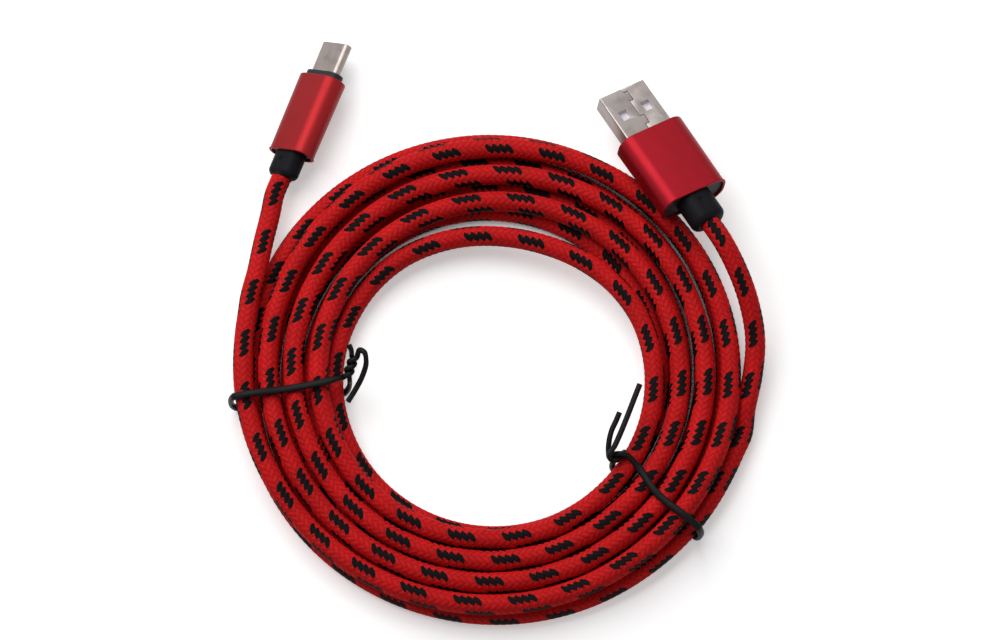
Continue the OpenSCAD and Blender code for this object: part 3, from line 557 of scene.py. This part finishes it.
BRAID = nylon_braid()
A_RED = anodised_aluminium("anodised_aluminium_a", "#8e0d1b", "#830b18", A_PLACE, A_TURN)
C_RED = anodised_aluminium("anodised_aluminium_c", "#8d191d", "#81161a", C_PLACE, C_TURN)
A_NICKEL = nickel_plate("nickel_plated_steel_a", "#968e8b", "#857c77", A_PLACE, A_TURN)
C_NICKEL = nickel_plate("nickel_plated_steel_c", "#948b87", "#847a75", C_PLACE, C_TURN)
BLACK_TPE = moulded("moulded_black_elastomer", "#0c0b10", "#111015", 0.55, specular=0.08)
BLACK_ABS = moulded("moulded_black_abs", "#1b1b20", "#212127", 0.5, specular=0.2)
WHITE_PBT = moulded("moulded_white_pbt", "#efebef", "#e4dfe5", 0.38)
BLACK_LCP = moulded("moulded_black_lcp", "#141416", "#19191c", 0.5, specular=0.2)
CREAM_PE = moulded("moulded_cream_polyethylene", "#d9d3c4", "#cdc6b4", 0.5)
TIE_PVC = moulded(
    "extruded_black_pvc", "#070506", "#0b090a", 0.42, grain_mm=0.3, depth_mm=0.01, specular=0.1
)
JACKET_TPE = moulded("extruded_jacket_elastomer", "#2a2a2c", "#313134", 0.5)
GOLD = plated("gold_plated_contact", "#e2bd66", "#d2a94f", 0.22)
TIN = plated("tinned_steel", "#a8a29a", "#938d86", 0.3)
IRON = plated("galvanised_iron_wire", "#9b9b98", "#838380", 0.38)
WIRES = {
    "red": moulded("wire_pvc_red", "#c01818", "#ad1414", 0.4),
    "white": moulded("wire_pvc_white", "#e6e6e6", "#dadada", 0.4),
    "green": moulded("wire_pvc_green", "#1f8f3a", "#1a7e32", 0.4),
    "black": moulded("wire_pvc_black", "#1a1a1a", "#222222", 0.4),
}
BOARD = moulded("solder_mask_green", "#1d6b3a", "#195f33", 0.3)
CERAMIC = moulded("resistor_ceramic", "#2c2c2c", "#343434", 0.5)

# ---- The cable -----------------------------------------------------------------------


def braided_cable():
    """A tube round the route. Its radius goes up and down by the relief from each point of a
    lattice to the next, so that every crossing of two yarns is a raised diamond, and the lattice
    turns slowly round the cord, as a braid does."""
    route = cable_route()
    count = round(length_of(route) / (PICK / 2)) + 1
    path = even(route, count)
    along = np.linspace(0, length_of(path), count)
    to_end = np.minimum(along, along[-1] - along)
    path[:, 2] += BRAID_RISE * ease(to_end / BRAID_RISE_OVER)
    side, top = sides_along(path, UP)
    wander = sum(by * np.sin(along / over + phase) for by, over, phase in BRAID_WANDERS)
    row, k = np.arange(count)[:, None], np.arange(BRAID_SIDES)[None, :]
    angle = 2 * np.pi * k / BRAID_SIDES + np.pi / 4 + wander[:, None]
    radius = BRAID_D / 2 + BRAID_RELIEF * np.where((row + k) % 2, 1, -1)
    points = (
        path[:, None]
        + (radius * np.cos(angle))[..., None] * side[:, None]
        + (radius * np.sin(angle))[..., None] * top[:, None]
    )
    points[..., 2] = np.maximum(points[..., 2], 0)
    faces = [*grid_faces(count, BRAID_SIDES).tolist(), *ends_of(count, BRAID_SIDES)]
    cable = put(
        "braided_cable", points.reshape(-1, 3), faces, BRAID,
        ["coil", "usb_a_lead", "usb_c_lead"], sharp=80,
    )
    # The map counts picks along the cord and columns of dashes round it.
    picks = np.arange(count - 1)[:, None, None] / 2 + np.array([0, 0, 0.5, 0.5])
    sides = np.arange(BRAID_SIDES)[None, :, None] + np.array([0, 1, 1, 0])
    columns = sides * COLUMNS / BRAID_SIDES
    quads = np.stack(np.broadcast_arrays(picks, columns), axis=-1).reshape(-1, 2)
    flat = np.zeros((2 * BRAID_SIDES, 2))
    layer = cable.data.uv_layers.new(name="picks_and_columns")
    layer.uv.foreach_set("vector", np.concatenate([quads, flat]).astype(np.float32).ravel())
    return cable, path


CABLE, CABLE_PATH = braided_cable()

# ---- The plugs -----------------------------------------------------------------------


def boot(name, place_in, sleeve_l, boot_l, section, node):
    """The moulded stub behind a sleeve: a bore for the cable, an end rounded over a quarter
    circle, a body with flats, and in the upper flat the shallow round pit of the mould's pin,
    half a cosine wave deep."""
    (w, h), back, front = section, -sleeve_l - boot_l, -sleeve_l + BOOT_IN_SLEEVE
    r = (h - BOOT_SIDE_FLAT) / 2
    mouth = [
        (back + deep, 2 * hole, 2 * hole, hole)
        for deep, hole in (
            (BOOT_BORE_DEPTH, BOOT_BORE), (BOOT_LIP_DEPTH, BOOT_BORE), (0, BOOT_BORE + BOOT_LIP)
        )
    ]
    insets = [(x, BOOT_EDGE * (1 - s)) for s, x in arc_steps(9)]
    end = [(back + BOOT_EDGE * x, w - 2 * i, h - 2 * i, r - i) for x, i in insets]
    body = [(x, w, h, r) for x in np.linspace(back + BOOT_EDGE, front, BOOT_RINGS)[1:]]
    points, rows, columns = stations_grid(mouth + end + body, BOOT_FLAT_STEPS)
    off = np.hypot(points[:, 0] - (front - PIT_FROM_FRONT), points[:, 1]) / PIT_R
    on_flat = points[:, 2] > h / 2 - PIT_REACH
    points[:, 2] -= PIT_DEPTH * ease((1 - off) / PIT_WALL) * on_flat
    faces = [*grid_faces(rows, columns).tolist(), *ends_of(rows, columns)]
    put(name, place_in(points), faces, BLACK_TPE, [node])


def tube(name, place_in, back, front, section, finish, node):
    """A length of tube, extruded or drawn, with both rims rounded over."""
    points, rows, columns = stations_grid(wall_stations(back, front, *section))
    put(name, place_in(points), grid_faces(rows, columns, True), finish, [node])


tube("usb_a_sleeve_anodised", at_a, -A_SLEEVE, 0, A_SLEEVE_SECTION, A_RED,
     "usb_a_sleeve")
tube("usb_c_sleeve_anodised", at_c, -C_SLEEVE, 0, C_SLEEVE_SECTION, C_RED,
     "usb_c_sleeve")
boot("usb_a_boot_moulded", at_a, A_SLEEVE, A_BOOT, A_BOOT_SECTION, "usb_a_boot")
boot("usb_c_boot_moulded", at_c, C_SLEEVE, C_BOOT, C_BOOT_SECTION, "usb_c_boot")
tube("usb_c_shell_drawn", at_c, C_SHELL_BACK, C_SHELL_FRONT, C_SHELL_SECTION, C_NICKEL,
     "usb_c_shell")


def softened(node, name, width, finish):
    """A copy of a node, its flat faces made whole and its corners broken by a small bevel."""
    mesh = NODES[node].data.copy()
    piece = add_object(name, mesh)
    weld = piece.modifiers.new("weld", "WELD")
    weld.merge_threshold = 1e-6
    flat = piece.modifiers.new("flat", "DECIMATE")
    flat.decimate_type = "DISSOLVE"
    flat.angle_limit = np.radians(0.5)
    bevel = piece.modifiers.new("bevel", "BEVEL")
    bevel.width = width * MM
    bevel.segments = 3
    bevel.limit_method = "ANGLE"
    bevel.angle_limit = np.radians(40)
    bevel.harden_normals = True
    mesh.materials.clear()
    mesh.materials.append(finish)
    mesh.shade_smooth()
    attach(piece, "root")
    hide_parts(node)


softened("usb_a_shell", "usb_a_shell_folded", A_SHELL_BEVEL, A_NICKEL)
softened("usb_c_body", "usb_c_collar_moulded", C_COLLAR_BEVEL, BLACK_ABS)

# ---- The ties ------------------------------------------------------------------------


def beside(at, points):
    """Points by their distance out along a bearing, aside from it and up."""
    c, s = np.cos(np.radians(at)), np.sin(np.radians(at))
    return np.asarray(points, float) @ np.array([[c, s, 0], [-s, c, 0], [0, 0, 1]])


def bundle(at):
    """Where the bundle of turns begins and ends along a bearing, and how high a tie runs."""
    first = ((at - COIL_START) % 360) / 360
    turns_there = np.arange(first, UPPER_TURNS + CHANGE_TURNS + LOWER_TURNS + 1e-9, 1.0)
    p = coil_point(turns_there)
    out = p[:, 0] * np.cos(np.radians(at)) + p[:, 1] * np.sin(np.radians(at))
    room = CABLE_D / 2 + TIE_GAP + TIE_D / 2
    return out.min() - room, out.max() + room, p[:, 2].max() + room


def tie_loop(at, foot):
    """The loop round the bundle, from the stem's foot over the top, down outside, back
    underneath and up inside to just under the foot. i, o, b and t are the middle of the wire at
    the inside, outside, bottom and top, c is a bend's radius, and d is how far the middle of a
    bend is from both of its sides."""
    i, o, t = bundle(at)
    b, c, d = TIE_D / 2, TIE_BEND, 0.3 * TIE_BEND
    return np.array([
        (i + foot[0] + LOOP_BEGINS, foot[1], t), ((i + o) / 2, 0, t), (o - c, 0, t),
        (o - d, 0, t - d), (o, 0, t - c), (o, 0, b + c), (o - d, 0, b + d), (o - c, 0, b),
        ((i + o) / 2, 0, b), (i + c, 0, b), (i + d, 0, b + d), (i, 0, b + c),
        (i + min(0, foot[0] - LOOP_TUCK), foot[1] / 2, t - LOOP_ENDS),
    ])


def stem(foot, way, length, turns, phase):
    """A helix of radius STEM_R round the line from foot along way, for one of the two ends that
    are wound together."""
    across = unit(np.cross(way, [0, way[2], -way[1]]))
    t = np.linspace(0, 1, round(STEM_STEPS * turns) + 1)[:, None]
    angle = np.radians(phase) + 2 * np.pi * turns * t
    round_it = np.cos(angle) * across + np.sin(angle) * np.cross(way, across)
    return foot + way * length * t + STEM_R * round_it


def tie(name, at, foot, way, length, turns, phase, tail_a, tail_b, node):
    """A flat-oval extruded coat carried along the tie's route: 1.7 by 1.0 mm where it lies round
    the bundle, and nearer round where the two ends are twisted and free. The twisted stem goes
    from foot along way. foot and the tails are drawn from the loop's corner, inside and on top,
    and each is how far out, aside and up."""
    way = unit(np.array(way, float))
    i, _, t = bundle(at)
    corner = np.array([i, 0, t])
    loop = tie_loop(at, foot)
    route = beside(at, np.concatenate([
        corner + tail_a, stem(corner + foot, way, length, turns, phase)[::-1],
        loop, stem(corner + foot, way, length, turns, phase + 180), corner + tail_b,
    ]))
    curve = smooth_path(route, 12)
    path = even(curve, round(length_of(curve) / TIE_RING_STEP) + 1)
    # Where along the path the loop begins and ends.
    starts = np.linalg.norm(path - beside(at, loop[0]), axis=1).argmin()
    ends = np.linalg.norm(path - beside(at, loop[-1]), axis=1).argmin()
    step = np.arange(len(path))
    flat = ease((step - starts) / TIE_FLATTENS_OVER) * ease((ends - step) / TIE_FLATTENS_OVER)
    path[:, 2] += TIE_RISE * ease((path[:, 2] - TIE_RISES_FROM) / TIE_RISES_OVER)
    thin, wide = sides_along(path, beside(at, [0, 1, TIE_LEAN]))
    angle = np.linspace(0, 2 * np.pi, TIE_SIDES, endpoint=False)
    round_it = np.stack([np.cos(angle), np.sin(angle)])
    oval = np.sign(round_it) * np.abs(round_it) ** TIE_OVAL
    half_thin, half_wide = (
        free + (bound - free) * flat[:, None] for free, bound in (TIE_HALF_THIN, TIE_HALF_WIDE)
    )
    points = (
        path[:, None]
        + (half_thin * oval[0])[..., None] * thin[:, None]
        + (half_wide * oval[1])[..., None] * wide[:, None]
    )
    points[..., 2] = np.maximum(points[..., 2], 0)
    faces = [*grid_faces(len(path), TIE_SIDES).tolist(), *ends_of(len(path), TIE_SIDES)]
    put(name, points.reshape(-1, 3), faces, TIE_PVC, [node], sharp=50)


tie(
    "left_tie_extruded", LEFT_TIE_AT,
    foot=(-0.4, -0.8, -0.5), way=(-0.55, -1, 0.5), length=5.4, turns=1.5, phase=180,
    tail_a=[(0.1, 4.7, -0.8), (-2.3, 1.9, 0.1), (-4, -0.4, 1.2), (-5.2, -3.2, 2.4),
            (-5, -5.3, 2.9), (-4.1, -6, 2.5)],
    tail_b=[(-2.2, -6.4, 2.7), (-1.8, -7.4, 3)],
    node="left_tie_coat",
)
tie(
    "right_tie_extruded", RIGHT_TIE_AT,
    foot=(1.4, 2.4, 0.5), way=(-0.55, -1, 0.15), length=3.6, turns=0.5, phase=225,
    tail_a=[(-5.5, 8.6, 1.9), (-4.9, 6.6, 1.6), (-4.3, 4.4, 1.3), (-3.1, 2, 0.9),
            (-1.9, 0.4, 0.5)],
    tail_b=[(-0.6, -0.9, 2.5), (-1.3, 1.9, 2.8), (-5.9, 16.1, 3.8)],
    node="right_tie_coat",
)

# ---- The nodes that stay, and their finishes -----------------------------------------

FINISHES = {
    "usb_a_insulator": WHITE_PBT,
    "usb_a_body": BLACK_ABS,
    "usb_a_crimp": TIN,
    "usb_c_crimp": TIN,
    "usb_a_inner_mould": CREAM_PE,
    "usb_c_inner_mould": CREAM_PE,
    "usb_a_cable_end": JACKET_TPE,
    "usb_c_cable_end": JACKET_TPE,
    "usb_c_insulator": BLACK_LCP,
    "usb_c_contacts_upper": GOLD,
    "usb_c_contacts_lower": GOLD,
    "usb_c_latch_spring": TIN,
    "usb_c_board": BOARD,
    "usb_c_resistor": CERAMIC,
    "left_tie_wire": IRON,
    "right_tie_wire": IRON,
    **{f"usb_a_contact_{n}": GOLD for n in ("vbus", "d_minus", "d_plus", "gnd")},
    **{f"usb_{p}_wire_{n}": WIRES[n] for p in "ac" for n in WIRES},
}
for node, finish in FINISHES.items():
    NODES[node].material_slots[0].link = "OBJECT"
    NODES[node].material_slots[0].material = finish

# ---- Floor, light and camera ---------------------------------------------------------

floor_mesh = bpy.data.meshes.new("floor")
corners = [(-1, -1), (1, -1), (1, 1), (-1, 1)]
floor_mesh.from_pydata(
    [(x * FLOOR_HALF, y * FLOOR_HALF, FLOOR_Z) for x, y in corners], [], [(0, 1, 2, 3)]
)
add_object("floor", floor_mesh)


def seen_directly(tree):
    """1 for a ray from the camera, a mirror or glass, and 0 for one that lights a surface."""
    path = add_node(tree, "LightPath")
    names = ("Is Camera Ray", "Is Glossy Ray", "Is Transmission Ray")
    a, b, c = (path.outputs[name] for name in names)
    either = add_node(tree, "Math", {0: a, 1: b}, operation="MAXIMUM").outputs[0]
    return add_node(tree, "Math", {0: either, 1: c}, operation="MAXIMUM").outputs[0]


# White paper that glows to what sees it, so that it stays white and still takes a shadow. Where
# something stands close over it, as between two turns of the cable, it has painted shade: its
# colour turns dark and it glows less.
paper, paper_tree, paper_shader = material(
    "white_paper",
    {"Roughness": 0.9, "Specular IOR Level": 0.0, "Emission Color": linear("#ffffff")},
)
open_sky = add_node(
    paper_tree, "AmbientOcclusion", {"Distance": CREVICE_REACH}, samples=8
).outputs["AO"]
open_part = add_node(paper_tree, "MapRange", {0: open_sky, 1: CLOSED_AT, 2: OPEN_AT}).outputs[0]
# Painted shade: the paper's colour goes dark where the floor is closed in.
shade = add_node(
    paper_tree, "Mix", {0: open_part, 6: linear(CREVICE_PAINTED_SHADE), 7: linear(PAPER)}, data_type="RGBA"
).outputs[2]
paper_tree.links.new(shade, paper_shader.inputs["Base Color"])
most = add_node(
    paper_tree, "Math", {0: seen_directly(paper_tree), 1: PAPER_GLOW}, operation="MULTIPLY"
).outputs[0]
glow = add_node(paper_tree, "Math", {0: most, 1: open_part}, operation="MULTIPLY").outputs[0]
paper_tree.links.new(glow, paper_shader.inputs["Emission Strength"])
floor_mesh.materials.append(paper)

world = bpy.data.worlds.new("studio")
bpy.context.scene.world = world
world.use_nodes = True
sky = world.node_tree
strength = add_node(
    sky, "MapRange", {0: seen_directly(sky), 1: 0.0, 2: 1.0, 3: SKY_LIGHT, 4: SKY_SEEN}
).outputs[0]
sky.links.new(strength, sky.nodes["Background"].inputs["Strength"])
sky.nodes["Background"].inputs["Color"].default_value = (1, 1, 1, 1)


def aim(made, place, target):
    """Puts a lamp or the camera at place with its -Z towards the target and Y upwards."""
    ahead = unit(np.array(target, float) - place)
    right = unit(np.cross(ahead, UP))
    matrix = np.eye(4)
    matrix[:3, :3] = np.stack([right, np.cross(right, ahead), -ahead], axis=1)
    matrix[:3, 3] = place
    made.matrix_world = Matrix(matrix.tolist())


def lamp(name, place, size, power):
    """A square soft lamp at place, in metres, that faces the origin."""
    light = bpy.data.lights.new(name, "AREA")
    light.shape = "SQUARE"
    light.size = size
    light.energy = power
    aim(add_object(name, light), place, (0, 0, 0))


lamp("key", (-0.35, 0.55, 0.9), size=1.1, power=12.5)
lamp("fill", (0.7, -0.5, 0.7), size=1.0, power=0.5)

camera_data = bpy.data.cameras.new("camera")
camera_data.sensor_width = CAMERA_SENSOR
camera_data.lens = CAMERA_LENS
camera_data.clip_start = 0.05
camera = add_object("camera", camera_data)
aim(camera, CAMERA_PLACE, CAMERA_TARGET)
bpy.context.scene.camera = camera
bpy.context.scene.view_settings.view_transform = "Standard"
